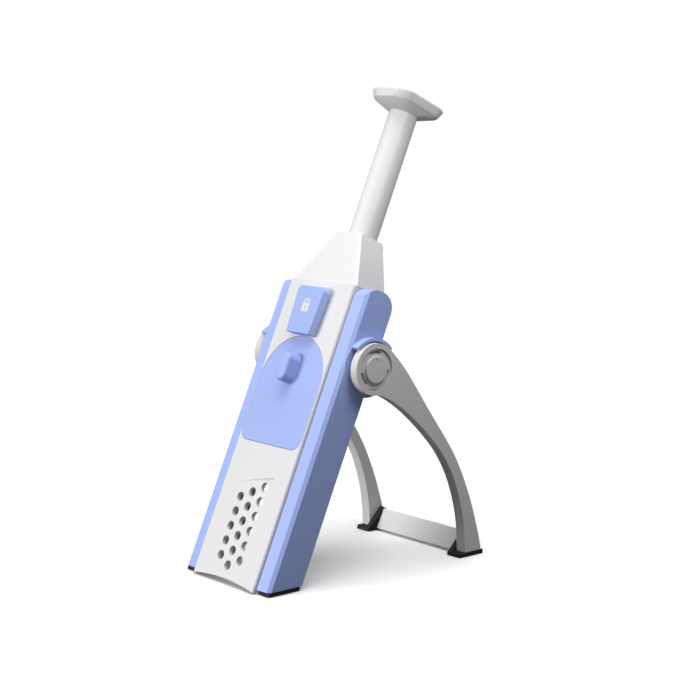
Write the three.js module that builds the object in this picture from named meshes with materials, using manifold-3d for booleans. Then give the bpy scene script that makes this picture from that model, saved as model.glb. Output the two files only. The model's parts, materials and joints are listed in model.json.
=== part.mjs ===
// Upright push-down mandoline slicer on a folding stand. Millimetres, +Z up.
// The body leans back; its own axes are across (X), deep (Y, into the body) and up (Z, along the body).
import * as THREE from 'three';
import { mergeVertices } from 'three/addons/utils/BufferGeometryUtils.js';
import Module from 'manifold-3d';

const wasm = await Module();
wasm.setup();

// Driving dimensions.
const tilt = THREE.MathUtils.degToRad(24); // lean of the body from upright
const slope = Math.tan(tilt);
const groundShift = -109.88; // puts the origin under the middle of the object
const gap = 0.3; // clearance between pieces that touch
const bodyHalf = 53; // outer half width of the side covers
const bodyBack = 33;
const bodyTop = 246.6; // where the neck sits on the body
const faceDepth = 1.2; // front face of the panel
const panelBack = 5;
const panelHalf = 38.3;
const wallOuter = 38.2; // housing side walls
const wallInner = 36.6;
const footHeight = 3.2;
const plungerDepth = 25.8; // depth of the plunger's axis
const tubeRadius = 11.7;
const tubeBore = 9.5;
const tubeBottom = 246;
const tubeTop = 404;
const neckTop = 291.8;
const handleHalf = 23;
const handleDeep = 26.5;
const handleTop = 411.6;
const handleBottom = 398.4;
const holder = { half: 36.7, bottom: 112.7, top: 201.2, corner: 9 }; // food holder plate
const holderLip = 5.7; // ledge the holder rests on
const perforation = { radius: 3.75, across: 12, rise: 11.74, low: 15.7 };
const pivot = { deep: 27.4, up: 190.25 }; // leg pivot and dial axis
const legInner = 54;
const legOuter = 63.4;
const legFloor = 59; // bottom of the dial's recess in the leg
const legPad = 3.4;
const hubRadius = 20;
const hubInner = 56.6; // inner face of the leg round its hub
const visor = { inner: 21.2, outer: 23.6, from: 60, to: 156, reach: 60 }; // radii, angles and outer end
const dialSlots = [114, 234, 354]; // degrees from the body's depth axis, so one slot stands upright
const knobRadius = 15.4;
const plateFront = 7.3; // thickness plate, at its thinnest setting
const plateTravel = 4.8;
const plateTurn = 1.5 * Math.PI; // dial turn for that travel
const combTravel = 7.4;
const combTurn = Math.PI;
const camClearance = 0.5;
const followerRadius = 1.2;

const blue = { color: 0xb7c6fb, roughness: 0.42 };
const white = { color: 0xf4f4f6, roughness: 0.45 };
const grey = { color: 0xb4b5b9, roughness: 0.4, metalness: 0.15 };
const rubber = { color: 0x121214, roughness: 0.8 };
const steel = { color: 0xc9ccd0, roughness: 0.25, metalness: 1 };
const slate = { color: 0x8a90a0, roughness: 0.5 };

// Solids for joining and cutting.
function solidOf(geometry) {
  const plain = new THREE.BufferGeometry();
  plain.setAttribute('position', geometry.getAttribute('position').clone());
  if (geometry.index) plain.setIndex(geometry.index.clone());
  const merged = mergeVertices(plain, 1e-4);
  const vertProperties = new Float32Array(merged.getAttribute('position').array);
  return new wasm.Manifold(new wasm.Mesh({ numProp: 3, vertProperties, triVerts: new Uint32Array(merged.index.array) }));
}

function geometryOf(solid) {
  const mesh = solid.getMesh();
  const geometry = new THREE.BufferGeometry();
  geometry.setAttribute('position', new THREE.BufferAttribute(mesh.vertProperties, 3));
  geometry.setIndex(new THREE.BufferAttribute(mesh.triVerts, 1));
  geometry.computeVertexNormals();
  return geometry;
}

const join = (...parts) => geometryOf(parts.map(solidOf).reduce((all, part) => all.add(part)));
const cut = (base, ...tools) => geometryOf(tools.map(solidOf).reduce((all, tool) => all.subtract(tool), solidOf(base)));
const common = (a, b) => geometryOf(solidOf(a).intersect(solidOf(b)));

// Outlines.
function polygon(...points) {
  return new THREE.Shape(points.map(([x, y]) => new THREE.Vector2(x, y)));
}

function roundedBox(left, low, right, high, radius) {
  const shape = new THREE.Shape();
  shape.moveTo(left + radius, low);
  shape.lineTo(right - radius, low);
  shape.absarc(right - radius, low + radius, radius, -Math.PI / 2, 0);
  shape.lineTo(right, high - radius);
  shape.absarc(right - radius, high - radius, radius, 0, Math.PI / 2);
  shape.lineTo(left + radius, high);
  shape.absarc(left + radius, high - radius, radius, Math.PI / 2, Math.PI);
  shape.lineTo(left, low + radius);
  shape.absarc(left + radius, low + radius, radius, Math.PI, Math.PI * 1.5);
  return shape;
}

function sector(inner, outer, from, to, steps = 16) {
  const angles = Array.from({ length: steps + 1 }, (_, i) => THREE.MathUtils.degToRad(from + ((to - from) * i) / steps));
  const along = (radius) => (angle) => [radius * Math.cos(angle), radius * Math.sin(angle)];
  return polygon(...angles.map(along(outer)), ...angles.reverse().map(along(inner)));
}

// Extrusions: facing the front, facing the side, and rising along the body.
function frontPlate(shape, near, far, curveSegments = 8) {
  const geometry = new THREE.ExtrudeGeometry(shape, { depth: far - near, bevelEnabled: false, curveSegments });
  return geometry.rotateX(Math.PI / 2).translate(0, far, 0);
}

function sidePlate(shape, from, to, curveSegments = 8) {
  const geometry = new THREE.ExtrudeGeometry(shape, { depth: to - from, bevelEnabled: false, curveSegments });
  const turn = new THREE.Matrix4().set(0, 0, 1, 0, 1, 0, 0, 0, 0, 1, 0, 0, 0, 0, 0, 1);
  return geometry.applyMatrix4(turn).translate(from, 0, 0);
}

function riser(shape, low, high) {
  return new THREE.ExtrudeGeometry(shape, { depth: high - low, bevelEnabled: false, curveSegments: 8 }).translate(0, 0, low);
}

function box(x0, x1, y0, y1, z0, z1) {
  return new THREE.BoxGeometry(x1 - x0, y1 - y0, z1 - z0).translate((x0 + x1) / 2, (y0 + y1) / 2, (z0 + z1) / 2);
}

function rod(radius, low, high, across = 0, deep = 0, segments = 28) {
  return new THREE.CylinderGeometry(radius, radius, high - low, segments)
    .rotateX(Math.PI / 2)
    .translate(across, deep, (low + high) / 2);
}

function axle(radius, from, to, deep = 0, up = 0, segments = 32) {
  return new THREE.CylinderGeometry(radius, radius, to - from, segments)
    .rotateZ(-Math.PI / 2)
    .translate((from + to) / 2, deep, up);
}

function drill(radius, near, far, across, up, segments = 14) {
  return new THREE.CylinderGeometry(radius, radius, far - near, segments).translate(across, (near + far) / 2, up);
}

// A closed skin through rings of equal length, each anticlockwise seen from above.
function loft(rings) {
  const count = rings[0].length;
  const index = [];
  for (let ring = 0; ring < rings.length - 1; ring++) {
    for (let i = 0; i < count; i++) {
      const a = ring * count + i;
      const b = ring * count + ((i + 1) % count);
      index.push(a, b, b + count, a, b + count, a + count);
    }
  }
  const top = (rings.length - 1) * count;
  for (let i = 1; i < count - 1; i++) index.push(0, i + 1, i, top, top + i, top + i + 1);
  const geometry = new THREE.BufferGeometry();
  geometry.setAttribute('position', new THREE.Float32BufferAttribute(rings.flat(2), 3));
  geometry.setIndex(index);
  return geometry;
}

function roundedRing(half, near, far, radius, up, steps = 4) {
  const corners = [[half, near, -90], [half, far, 0], [-half, far, 90], [-half, near, 180]];
  return corners.flatMap(([x, y, start]) => Array.from({ length: steps + 1 }, (_, i) => {
    const angle = THREE.MathUtils.degToRad(start + (90 * i) / steps);
    const cx = x - Math.sign(x) * radius;
    const cy = y === near ? near + radius : far - radius;
    return [cx + radius * Math.cos(angle), cy + radius * Math.sin(angle), up];
  }));
}

// Groups: the leaning body and the stand, which turns about the leg pivot.
const mandoline = new THREE.Group();
mandoline.position.y = groundShift;
const body = new THREE.Group();
body.rotation.x = -tilt;
const stand = new THREE.Group();
stand.position.set(
  0,
  pivot.deep * Math.cos(tilt) + pivot.up * Math.sin(tilt),
  pivot.up * Math.cos(tilt) - pivot.deep * Math.sin(tilt),
);
mandoline.add(body, stand);

function piece(group, name, geometry, look) {
  const mesh = new THREE.Mesh(geometry, new THREE.MeshStandardMaterial(look));
  mesh.name = name;
  group.add(mesh);
}

const bothSides = [['right', 1], ['left', -1]];

// Mirrors a right-hand geometry to the left and keeps its faces outward.
function handed(geometry, side) {
  if (side === 1) return geometry;
  const mirrored = geometry.index ? geometry.toNonIndexed() : geometry.clone();
  const position = mirrored.getAttribute('position');
  for (let i = 0; i < position.count; i++) position.setX(i, -position.getX(i));
  for (let i = 0; i < position.count; i += 3) {
    const [x, y, z] = [position.getX(i), position.getY(i), position.getZ(i)];
    position.setXYZ(i, position.getX(i + 1), position.getY(i + 1), position.getZ(i + 1));
    position.setXYZ(i + 1, x, y, z);
  }
  return mirrored;
}

// Everything lower than this stays off the floor.
function floorCut(height, far = 80) {
  const edge = (deep) => deep * slope + height / Math.cos(tilt);
  return sidePlate(polygon([-30, -60], [far, -60], [far, edge(far)], [-30, edge(-30)]), -70, 70);
}

// Food holder outline: straight sides, half-round top and small bottom corners.
function holderShape(inset) {
  const half = holder.half - inset;
  const bottom = holder.bottom + inset;
  const corner = Math.max(holder.corner - inset, 3);
  const shape = new THREE.Shape();
  shape.moveTo(-half + corner, bottom);
  shape.lineTo(half - corner, bottom);
  shape.absarc(half - corner, bottom + corner, corner, -Math.PI / 2, 0);
  shape.absarc(0, holder.top - holder.half, half, 0, Math.PI);
  shape.absarc(-half + corner, bottom + corner, corner, Math.PI, Math.PI * 1.5);
  return shape;
}

// Shallow hollow round the drain holes: its floor slopes from nothing at the lower left to full depth at the top right.
function hollowRing(deep, fall = 0) {
  const corners = [[-21, 79.4, 0], [21, 89.2, 1], [21, 9, 0], [-21, 9, -1]];
  return corners.map(([across, up, share]) => [across, deep + fall * share, up]);
}

function frontPanel() {
  const edge = 0.8;
  const slab = riser(polygon(
    [-panelHalf, panelBack], [-panelHalf, faceDepth + edge], [-panelHalf + edge, faceDepth],
    [panelHalf - edge, faceDepth], [panelHalf, faceDepth + edge], [panelHalf, panelBack],
  ), 0.5, bodyTop);
  const hollow = loft([hollowRing(-3), hollowRing(faceDepth, 0.85)]);
  const recess = frontPlate(holderShape(-gap), -2, faceDepth + 2.2, 12);
  const chute = frontPlate(holderShape(holderLip), -2, panelBack + 1, 12);
  const slot = box(-2.8, 2.8, -2, panelBack + 1, 218.6, 235.8);
  const arch = new THREE.Shape();
  arch.moveTo(-50, -10);
  arch.lineTo(50, -10);
  arch.lineTo(panelHalf + 0.5, 2.4);
  arch.quadraticCurveTo(0, 8.8, -panelHalf - 0.5, 2.4);
  const holes = [];
  for (const column of [-1, 0, 1]) {
    const lowest = perforation.low + (Math.abs(column) * perforation.rise) / 2;
    for (let row = 0; row < (column < 0 ? 5 : 6); row++) {
      const up = lowest + row * perforation.rise;
      holes.push(drill(perforation.radius, -1, panelBack + 1, column * perforation.across, up));
    }
  }
  return cut(slab, hollow, recess, chute, slot, frontPlate(arch, -3, panelBack + 1), ...holes);
}

function housing() {
  const outer = riser(polygon(
    [-wallOuter, panelBack + gap], [wallOuter, panelBack + gap], [wallOuter, bodyBack], [15.5, bodyBack],
    [15.5, 42], [-15.5, 42], [-15.5, bodyBack], [-wallOuter, bodyBack],
  ), 0, bodyTop);
  const channel = box(-wallInner, wallInner, 0, bodyBack - 1.8, -10, bodyTop + 5);
  const spine = box(-13.9, 13.9, 25, 40.4, 128, bodyTop + 5);
  const spineFoot = box(-20, 20, bodyBack, 50, -10, 126);
  const outlet = frontPlate(roundedBox(-30, -30, 30, 95, 8), 28, 50);
  const plateSlot = box(wallInner - 2, wallOuter + 2, 9.2, 12.4 + plateTravel, 99.5, 105.5);
  const combSlot = box(-wallOuter - 2, -wallInner + 2, 21.1 - combTravel, 24.9, 111.5, 118.5);
  return cut(outer, channel, spine, spineFoot, outlet, plateSlot, combSlot, floorCut(footHeight + gap));
}

// White funnel between the body and the plunger tube.
function neckRing(half, near, side, far, back, up) {
  const corner = 2;
  return [
    [-half + corner, near, up], [half - corner, near, up], [half, near + corner, up], [half, side, up],
    [back, far, up], [-back, far, up], [-half, side, up], [-half, near + corner, up],
  ];
}

function neckCollar() {
  const base = bodyTop + gap;
  const outer = loft([
    neckRing(38.2, 2.2, 34.6, 42, 15.5, base),
    neckRing(38.2, 2.6, 34.6, 42, 15.5, base + 1.5),
    neckRing(15.6, 9.8, 35.6, 41.2, 10.5, neckTop - 2),
    neckRing(14.8, 10.8, 35, 40.2, 10, neckTop),
  ]);
  const inner = loft([
    neckRing(35.6, 5, 30, 39.6, 14, base - 1),
    neckRing(14.2, 12, 31, 39.2, 9.2, neckTop - 9),
  ]);
  return cut(outer, inner, rod(13.2, base - 5, neckTop + 5, 0, plungerDepth));
}

// Side cover: hollow shell, sloped front band, pivot ear, boss and the visor over the leg's hub.
function sideCover() {
  const low = footHeight + gap;
  const profile = new THREE.Shape();
  profile.moveTo(3, -5);
  profile.lineTo(bodyBack, -5);
  profile.absarc(bodyBack - 13, 235.5, 13, 0, Math.PI / 2);
  profile.absarc(16, 235.5, 13, Math.PI / 2, Math.PI);
  const shell = sidePlate(profile, wallOuter + 0.7, bodyHalf);
  const band = riser(polygon([30, -8], [60, -8], [60, 13.6], [50.6, 4.2], [30, 3.4]), -20, 260);
  const outside = cut(shell, band, floorCut(low));
  const cavity = cut(sidePlate(roundedBox(9.4, -20, bodyBack - 2.4, 245, 10), wallOuter, bodyHalf - 2.4), floorCut(low + 3));
  const ear = axle(23, wallOuter + 0.7, bodyHalf, pivot.deep, pivot.up);
  const earHollow = common(axle(20.6, 41.4, bodyHalf - 2.4, pivot.deep, pivot.up), box(40, 52, 9.4, 60, 150, 230));
  const boss = axle(9.6, bodyHalf - 1, legFloor - 0.2, pivot.deep, pivot.up);
  const lip = sidePlate(sector(visor.inner, visor.outer, visor.from, visor.to, 14), 50, visor.reach);
  const bore = axle(4.3, 40, 70, pivot.deep, pivot.up, 32);
  const screwHoles = [60, 222].map((up) => drill(1.8, 25, 40, 46, up, 16));
  return cut(join(outside, ear, boss, lip.translate(0, pivot.deep, pivot.up)), cavity, earHollow, bore, ...screwHoles);
}

function bodyFoot() {
  const edge = (deep, lift) => [deep, deep * slope + lift / Math.cos(tilt)];
  const outline = polygon(edge(5.8, 0), edge(32.4, 0), edge(32.4, footHeight), edge(5.8, footHeight));
  return sidePlate(outline, wallOuter + 1.2, bodyHalf - 0.3);
}

function coverScrew(up) {
  const head = drill(3, bodyBack + gap, bodyBack + 1.8, 46, up);
  return cut(join(head, drill(1.4, 26, bodyBack + 1, 46, up)), box(42, 50, bodyBack + 1, bodyBack + 3, up - 0.5, up + 0.5));
}

function guideBush() {
  return cut(rod(12.9, 278, neckTop - 0.4, 0, plungerDepth), rod(12, 270, 300, 0, plungerDepth));
}

// Fixed rod inside the tube: its head carries the return spring.
function springRod() {
  return join(rod(3, 122, 262, 0, plungerDepth, 20), rod(8.8, 261, 265, 0, plungerDepth));
}

function rodBracket() {
  const bar = box(-wallInner + gap, wallInner - gap, 20.5, bodyBack - 1.8 - gap, 121.7, 127.7);
  return cut(bar, rod(3.3, 120, 130, 0, plungerDepth, 20));
}

function strokeStop(side) {
  return box(side < 0 ? -36.2 : 33, side < 0 ? -33 : 36.2, 21, 30.8, 129, 139.5);
}

// Plunger: grip, tube, spring, carriage and blade.
function handleGrip() {
  const ring = (inset, radius, up) => roundedRing(
    handleHalf - inset, plungerDepth - handleDeep + inset, plungerDepth + handleDeep - inset, radius, up,
  );
  const grip = loft([
    roundedRing(12.8, plungerDepth - 12.8, plungerDepth + 12.8, 12.7, handleBottom),
    ring(3.2, 11, handleTop - 8),
    ring(2.2, 12, handleTop - 7.2),
    ring(0.2, 12.5, handleTop - 1.6),
    ring(0.6, 12.2, handleTop - 0.5),
    ring(1.8, 11.5, handleTop),
  ]);
  return cut(grip, rod(tubeRadius + gap, 390, tubeTop + gap, 0, plungerDepth));
}

function plungerTube() {
  return cut(rod(tubeRadius, tubeBottom, tubeTop, 0, plungerDepth), rod(tubeBore, 240, 410, 0, plungerDepth));
}

class Helix extends THREE.Curve {
  constructor(radius, low, high, turns) {
    super();
    Object.assign(this, { radius, low, high, turns });
  }

  getPoint(t, target = new THREE.Vector3()) {
    const angle = 2 * Math.PI * this.turns * t;
    const up = this.low + (this.high - this.low) * t;
    return target.set(this.radius * Math.cos(angle), plungerDepth + this.radius * Math.sin(angle), up);
  }
}

function returnSpring() {
  const wire = new THREE.Shape().absarc(0, 0, 0.7, 0, 2 * Math.PI);
  const turns = 13;
  const extrudePath = new Helix(7.4, 266.2, tubeTop - 1.2, turns);
  return new THREE.ExtrudeGeometry(wire, { steps: turns * 8, extrudePath, curveSegments: 2 });
}

function bladeCarriage() {
  const bridge = box(-36, 36, 14.8, 30.7, 235, 245);
  const collar = rod(13.5, 235, 256, 0, plungerDepth);
  const arms = [-1, 1].map((side) => box(side < 0 ? -36 : 32.2, side < 0 ? -32.2 : 36, 6.3, 16, 235, 245));
  const straps = [-1, 1].map((side) => box(side < 0 ? -36 : 32.2, side < 0 ? -32.2 : 36, 6.3, 8.8, 203, 240));
  const socket = rod(tubeRadius + gap, tubeBottom - gap, 260, 0, plungerDepth);
  const front = box(-20, 20, 0, 14.3, 230, 260); // clear of the thickness plate at its thickest setting
  return cut(join(bridge, collar, ...arms, ...straps), socket, front, rod(3.6, 230, 250, 0, plungerDepth, 20));
}

function slicingBlade() {
  const plate = frontPlate(polygon([-35.6, 203], [35.6, 207], [35.6, 216], [-35.6, 216]), panelBack + gap, 6);
  const wedge = frontPlate(polygon([-40, 190], [40, 190], [40, 209.6], [-40, 205.1]), 4, 5.3);
  return cut(plate, wedge.translate(0, 0.35, 0));
}

// Food pusher: plate, finger grip and the pegged block that reaches into the chute.
function pusherPlate() {
  return frontPlate(holderShape(0), faceDepth, faceDepth + 2.2 - gap, 12);
}

function fingerKnob() {
  const oval = (inset) => roundedBox(-6 + inset, 161.5 + inset, 6 - inset, 185.5 - inset, 5.9 - inset);
  return join(
    frontPlate(oval(0), faceDepth - 10, faceDepth - gap, 4),
    frontPlate(oval(0.9), faceDepth - 11.5, faceDepth - 9, 4),
    frontPlate(oval(-1), faceDepth - 1.4, faceDepth - gap, 4),
  );
}

function pusherBlock() {
  const slab = frontPlate(holderShape(holderLip + 0.5), faceDepth + 2.2, 4.2, 12);
  const pegs = [];
  for (let up = 126; up <= 180; up += 18) {
    for (let across = -18; across <= 18; across += 12) pegs.push(drill(1.8, 4, 4.9, across, up, 6));
  }
  return join(slab, ...pegs);
}

function lockTab() {
  const outline = new THREE.Shape();
  outline.moveTo(-13.8, 201.5);
  outline.lineTo(13.8, 201.5);
  outline.lineTo(15.8, 235.5);
  outline.quadraticCurveTo(15.9, 239.6, 11.5, 239.9);
  outline.lineTo(-11.5, 239.9);
  outline.quadraticCurveTo(-15.9, 239.6, -15.8, 235.5);
  const tab = frontPlate(outline, faceDepth - 8.2, faceDepth - gap, 5);
  return join(tab, box(-2.4, 2.4, 0, panelBack + 0.1, 219, 227));
}

function lockClip() {
  return box(-7, 7, panelBack + 0.4, panelBack + 1.6, 217.2, 229.5);
}

// Dials: a slotted knob with a raised cap outside, a shaft and a spiral cam inside.
function dialKnob() {
  const slots = dialSlots.map((angle) => sidePlate(sector(12.1, 14.2, angle - 24, angle + 24, 8), 58, 70));
  return cut(axle(knobRadius, legFloor + 0.4, legOuter - 1.4), ...slots).translate(0, pivot.deep, pivot.up);
}

function dialCap() {
  const from = legOuter - 1.4 + gap;
  const rim = new THREE.CylinderGeometry(9.8, 10.6, 0.7, 32).rotateZ(-Math.PI / 2).translate(from + 1.7, 0, 0);
  return join(axle(10.6, from, from + 1.4), rim).translate(0, pivot.deep, pivot.up);
}

function camShaft(start, rate, turn) {
  const margin = 0.18;
  const steps = 40;
  const points = Array.from({ length: steps + 1 }, (_, i) => {
    const turned = -margin + ((turn + 2 * margin) * i) / steps;
    const radius = start + rate * Math.min(Math.max(turned, 0), turn);
    return [-radius * Math.cos(turned), radius * Math.sin(turned)];
  });
  const cam = sidePlate(polygon(...points.reverse()), 42.2, 44.6);
  const shaft = axle(4, 41.7, legFloor + 0.1, 0, 0, 32);
  return join(cam, shaft).translate(0, pivot.deep, pivot.up);
}

// Side link from a cam's follower pin down to the piece it moves.
function camLink(startRadius, low, footDeep, footHeightUp) {
  const pinDeep = pivot.deep - startRadius - camClearance - followerRadius;
  const strip = polygon(
    [footDeep, low], [footDeep + 6, low], [footDeep + 6, low + footHeightUp], [pinDeep + 3, 178],
    [pinDeep + 3, 194], [pinDeep - 2.4, 194], [pinDeep - 2.4, 178], [footDeep, low + footHeightUp],
  );
  return join(sidePlate(strip, 39.2, 41.2), axle(followerRadius, 41, 44.8, pinDeep, pivot.up, 16));
}

function thicknessPlate() {
  const plate = frontPlate(roundedBox(-31, 100, 31, 200, 3), plateFront, plateFront + 1.5);
  const rib = box(-31, 31, plateFront + 1.2, 12.1, 100, 105);
  const lug = box(30, 38.9, 9.5, 12.1, 100, 105);
  const slots = combTeeth.map((across) => box(across - 0.9, across + 0.9, 0, 20, 111.3, 118.7));
  return cut(join(plate, rib, lug), ...slots);
}

const combTeeth = [-25, -15, -5, 5, 15, 25];

function julienneComb() {
  const bar = box(-30, 30, 21.5, 24.5, 112, 118);
  const lug = box(-38.9, -29, 21.5, 24.5, 112, 118);
  return join(bar, lug, ...combTeeth.map((across) => box(across - 0.4, across + 0.4, 14.1, 22, 112, 118)));
}

// Stand: legs, crossbar and rubber feet, measured from the pivot in the upright frame.
const legFoot = pivotHeight() - legPad;
const barRest = { y: 100.8, z: -162.3, length: 18.2, thickness: 3.6, angle: 62, half: 48.3 };

function pivotHeight() {
  return pivot.up * Math.cos(tilt) - pivot.deep * Math.sin(tilt);
}

function legShape() {
  const back = [[13, 15.2], [30.3, -3.6], [54.6, -37.6], [81.6, -75.5], [98, -109], [108.6, -141], [115.6, -170]];
  const front = [
    [95.4, -170], [93.2, -134], [84.3, -101.5], [70.5, -76], [50.8, -53.8], [28, -34], [8, -21.8], [-6, -19.1],
  ];
  const curve = (points) => new THREE.SplineCurve(points.map(([y, z]) => new THREE.Vector2(y, z))).getPoints(14);
  return new THREE.Shape([...curve(back), ...curve(front)].reverse());
}

function leg() {
  const arm = sidePlate(legShape(), legInner, legOuter);
  const hub = axle(hubRadius, legInner, legOuter, 0, 0, 40);
  const floor = box(40, 80, 60, 130, -190, -legFoot + gap);
  const recess = axle(15.9, legFloor, 70, 0, 0, 40);
  const relief = cut(axle(hubRadius + 4, 50, hubInner, 0, 0, 40), axle(13, 50, hubInner, 0, 0, 40));
  return cut(join(arm, hub), floor, recess, relief, axle(10, 50, 70), barPins(1.9, 58));
}

// The crossbar's cross-section leans forward.
function barPoint(along, over) {
  const angle = THREE.MathUtils.degToRad(barRest.angle);
  return [
    barRest.y + along * Math.cos(angle) - over * Math.sin(angle),
    barRest.z + along * Math.sin(angle) + over * Math.cos(angle),
  ];
}

function barPins(radius, reach) {
  return axle(radius, -reach, reach, ...barPoint(9, barRest.thickness / 2), 24);
}

function crossbar() {
  const { length, thickness, half } = barRest;
  const section = polygon(barPoint(0, 0), barPoint(length, 0), barPoint(length, thickness), barPoint(0, thickness));
  return join(sidePlate(section, -half, half), barPins(1.6, 57.5));
}

// Rubber foot: a pad under the leg and a gusset round the crossbar's end.
function legFootPad() {
  const floor = -pivotHeight();
  const inner = barRest.half + gap;
  const pad = sidePlate(polygon([88.8, floor], [114.6, floor], [115.2, floor + legPad], [89.6, floor + legPad]), inner, 64);
  const gusset = sidePlate(polygon([90.2, floor + 3], [112, floor + 3], [109.2, -144.8], [106.4, -143.4]), inner, legInner - gap);
  return cut(join(pad, gusset), barPins(1.9, 60));
}

// Fixed body.
piece(body, 'front_panel', frontPanel(), white);
piece(body, 'housing', housing(), white);
piece(body, 'neck_collar', neckCollar(), white);
piece(body, 'guide_bush', guideBush(), slate);
piece(body, 'spring_rod', springRod(), steel);
piece(body, 'rod_bracket', rodBracket(), slate);
for (const [name, side] of bothSides) {
  piece(body, `${name}_side_cover`, handed(sideCover(), side), blue);
  piece(body, `${name}_body_foot`, handed(bodyFoot(), side), rubber);
  piece(body, `${name}_stroke_stop`, strokeStop(side), rubber);
  piece(body, `${name}_lower_screw`, handed(coverScrew(60), side), steel);
  piece(body, `${name}_upper_screw`, handed(coverScrew(222), side), steel);
}

// Plunger.
piece(body, 'handle_grip', handleGrip(), white);
piece(body, 'plunger_tube', plungerTube(), white);
piece(body, 'return_spring', returnSpring(), steel);
piece(body, 'blade_carriage', bladeCarriage(), slate);
piece(body, 'slicing_blade', slicingBlade(), steel);

// Food pusher and its lock.
piece(body, 'pusher_plate', pusherPlate(), blue);
piece(body, 'finger_knob', fingerKnob(), blue);
piece(body, 'pusher_block', pusherBlock(), slate);
piece(body, 'lock_tab', lockTab(), blue);
piece(body, 'lock_clip', lockClip(), slate);

// Thickness and cutting-mode drives.
piece(body, 'thickness_knob', dialKnob(), grey);
piece(body, 'thickness_cap', dialCap(), grey);
piece(body, 'thickness_cam', camShaft(12, -plateTravel / plateTurn, plateTurn), slate);
piece(body, 'thickness_link', camLink(12, 97.5, 9.8, 8), steel);
piece(body, 'thickness_plate', thicknessPlate(), steel);
piece(body, 'mode_knob', handed(dialKnob(), -1), grey);
piece(body, 'mode_cap', handed(dialCap(), -1), grey);
piece(body, 'mode_cam', handed(camShaft(5, combTravel / combTurn, combTurn), -1), slate);
piece(body, 'mode_link', handed(camLink(5, 111, 20, 8), -1), steel);
piece(body, 'julienne_comb', julienneComb(), steel);

// Stand.
for (const [name, side] of bothSides) {
  piece(stand, `${name}_leg`, handed(leg(), side), grey);
  piece(stand, `${name}_leg_foot`, handed(legFootPad(), side), rubber);
}
piece(stand, 'crossbar', crossbar(), grey);

export default mandoline;
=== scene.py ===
import json
import math

import bmesh
import bpy
from mathutils import Matrix, Vector


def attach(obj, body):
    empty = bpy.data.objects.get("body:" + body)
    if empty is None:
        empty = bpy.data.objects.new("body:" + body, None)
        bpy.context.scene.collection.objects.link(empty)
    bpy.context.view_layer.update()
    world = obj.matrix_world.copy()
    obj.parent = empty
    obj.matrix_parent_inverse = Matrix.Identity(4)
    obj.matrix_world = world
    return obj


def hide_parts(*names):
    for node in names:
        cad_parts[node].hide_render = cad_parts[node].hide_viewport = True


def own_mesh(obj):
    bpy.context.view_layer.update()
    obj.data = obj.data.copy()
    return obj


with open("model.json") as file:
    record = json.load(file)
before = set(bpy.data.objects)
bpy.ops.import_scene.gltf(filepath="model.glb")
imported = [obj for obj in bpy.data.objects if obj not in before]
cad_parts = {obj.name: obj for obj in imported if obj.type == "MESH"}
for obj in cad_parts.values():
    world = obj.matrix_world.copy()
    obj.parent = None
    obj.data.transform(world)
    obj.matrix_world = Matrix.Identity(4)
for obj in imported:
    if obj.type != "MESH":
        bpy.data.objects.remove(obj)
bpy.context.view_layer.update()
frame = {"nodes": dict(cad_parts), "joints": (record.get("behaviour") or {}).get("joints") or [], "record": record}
joints = {joint["name"]: joint for joint in frame["joints"]}

# The body leans back: its own axes come from the plunger's and the pusher's travel.
# Sizes below are millimetres, and a cutter reaches past what it cuts.
bodyUp = -Vector(joints["plunger_press"]["axis"])
bodyDeep = -Vector(joints["pusher_lift"]["axis"])
hub = Vector(joints["stand_fold"]["pos_m"])
slope = bodyUp.y / bodyUp.z  # floor line in the body's own side view
pivot = {"deep": 27.4, "up": 190.25}
bodyOrigin = hub - bodyDeep * pivot["deep"] / 1000 - bodyUp * pivot["up"] / 1000
turn = Matrix((Vector((1, 0, 0)), bodyDeep, bodyUp)).transposed().to_4x4()
inBody = Matrix.Translation(bodyOrigin) @ turn @ Matrix.Scale(0.001, 4)
inStand = Matrix.Translation(hub) @ Matrix.Scale(0.001, 4)
standFloor = -hub.z * 1000
lean = math.atan(slope)
print("frame read, body leans", round(math.degrees(lean), 1), "degrees")


# Outlines are lists of (a, b) going anticlockwise.
def arc(ca, cb, radius, start, end, steps=10):
    angles = [math.radians(start + (end - start) * i / steps) for i in range(steps + 1)]
    return [(ca + radius * math.cos(t), cb + radius * math.sin(t)) for t in angles]


def roundedBox(left, low, right, high, radius, steps=8):
    r = radius
    return (arc(right - r, low + r, r, -90, 0, steps) + arc(right - r, high - r, r, 0, 90, steps)
            + arc(left + r, high - r, r, 90, 180, steps) + arc(left + r, low + r, r, 180, 270, steps))


def sector(inner, outer, start, end, steps=24):
    return arc(0, 0, outer, start, end, steps) + arc(0, 0, inner, end, start, steps)


def circle(radius, ca=0, cb=0, steps=64):
    return arc(ca, cb, radius, 0, 360, steps)[:-1]


def smoothCurve(points, steps=10):
    ends = [points[0]] + points + [points[-1]]
    curve = []
    for a, b, c, d in zip(ends, ends[1:], ends[2:], ends[3:]):
        for i in range(steps):
            t = i / steps
            curve.append(tuple(0.5 * (2 * q + (r - p) * t + (2 * p - 5 * q + 4 * r - s) * t * t
                                      + (3 * q - p - 3 * r + s) * t ** 3) for p, q, r, s in zip(a, b, c, d)))
    return curve + [points[-1]]


def newObject(name, mesh):
    obj = bpy.data.objects.new(name, mesh)
    bpy.context.scene.collection.objects.link(obj)
    return obj


def fromMesh(name, bm):
    bmesh.ops.remove_doubles(bm, verts=bm.verts, dist=1e-5)
    bmesh.ops.recalc_face_normals(bm, faces=bm.faces)
    mesh = bpy.data.meshes.new(name)
    bm.to_mesh(mesh)
    bm.free()
    return newObject(name, mesh)


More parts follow.
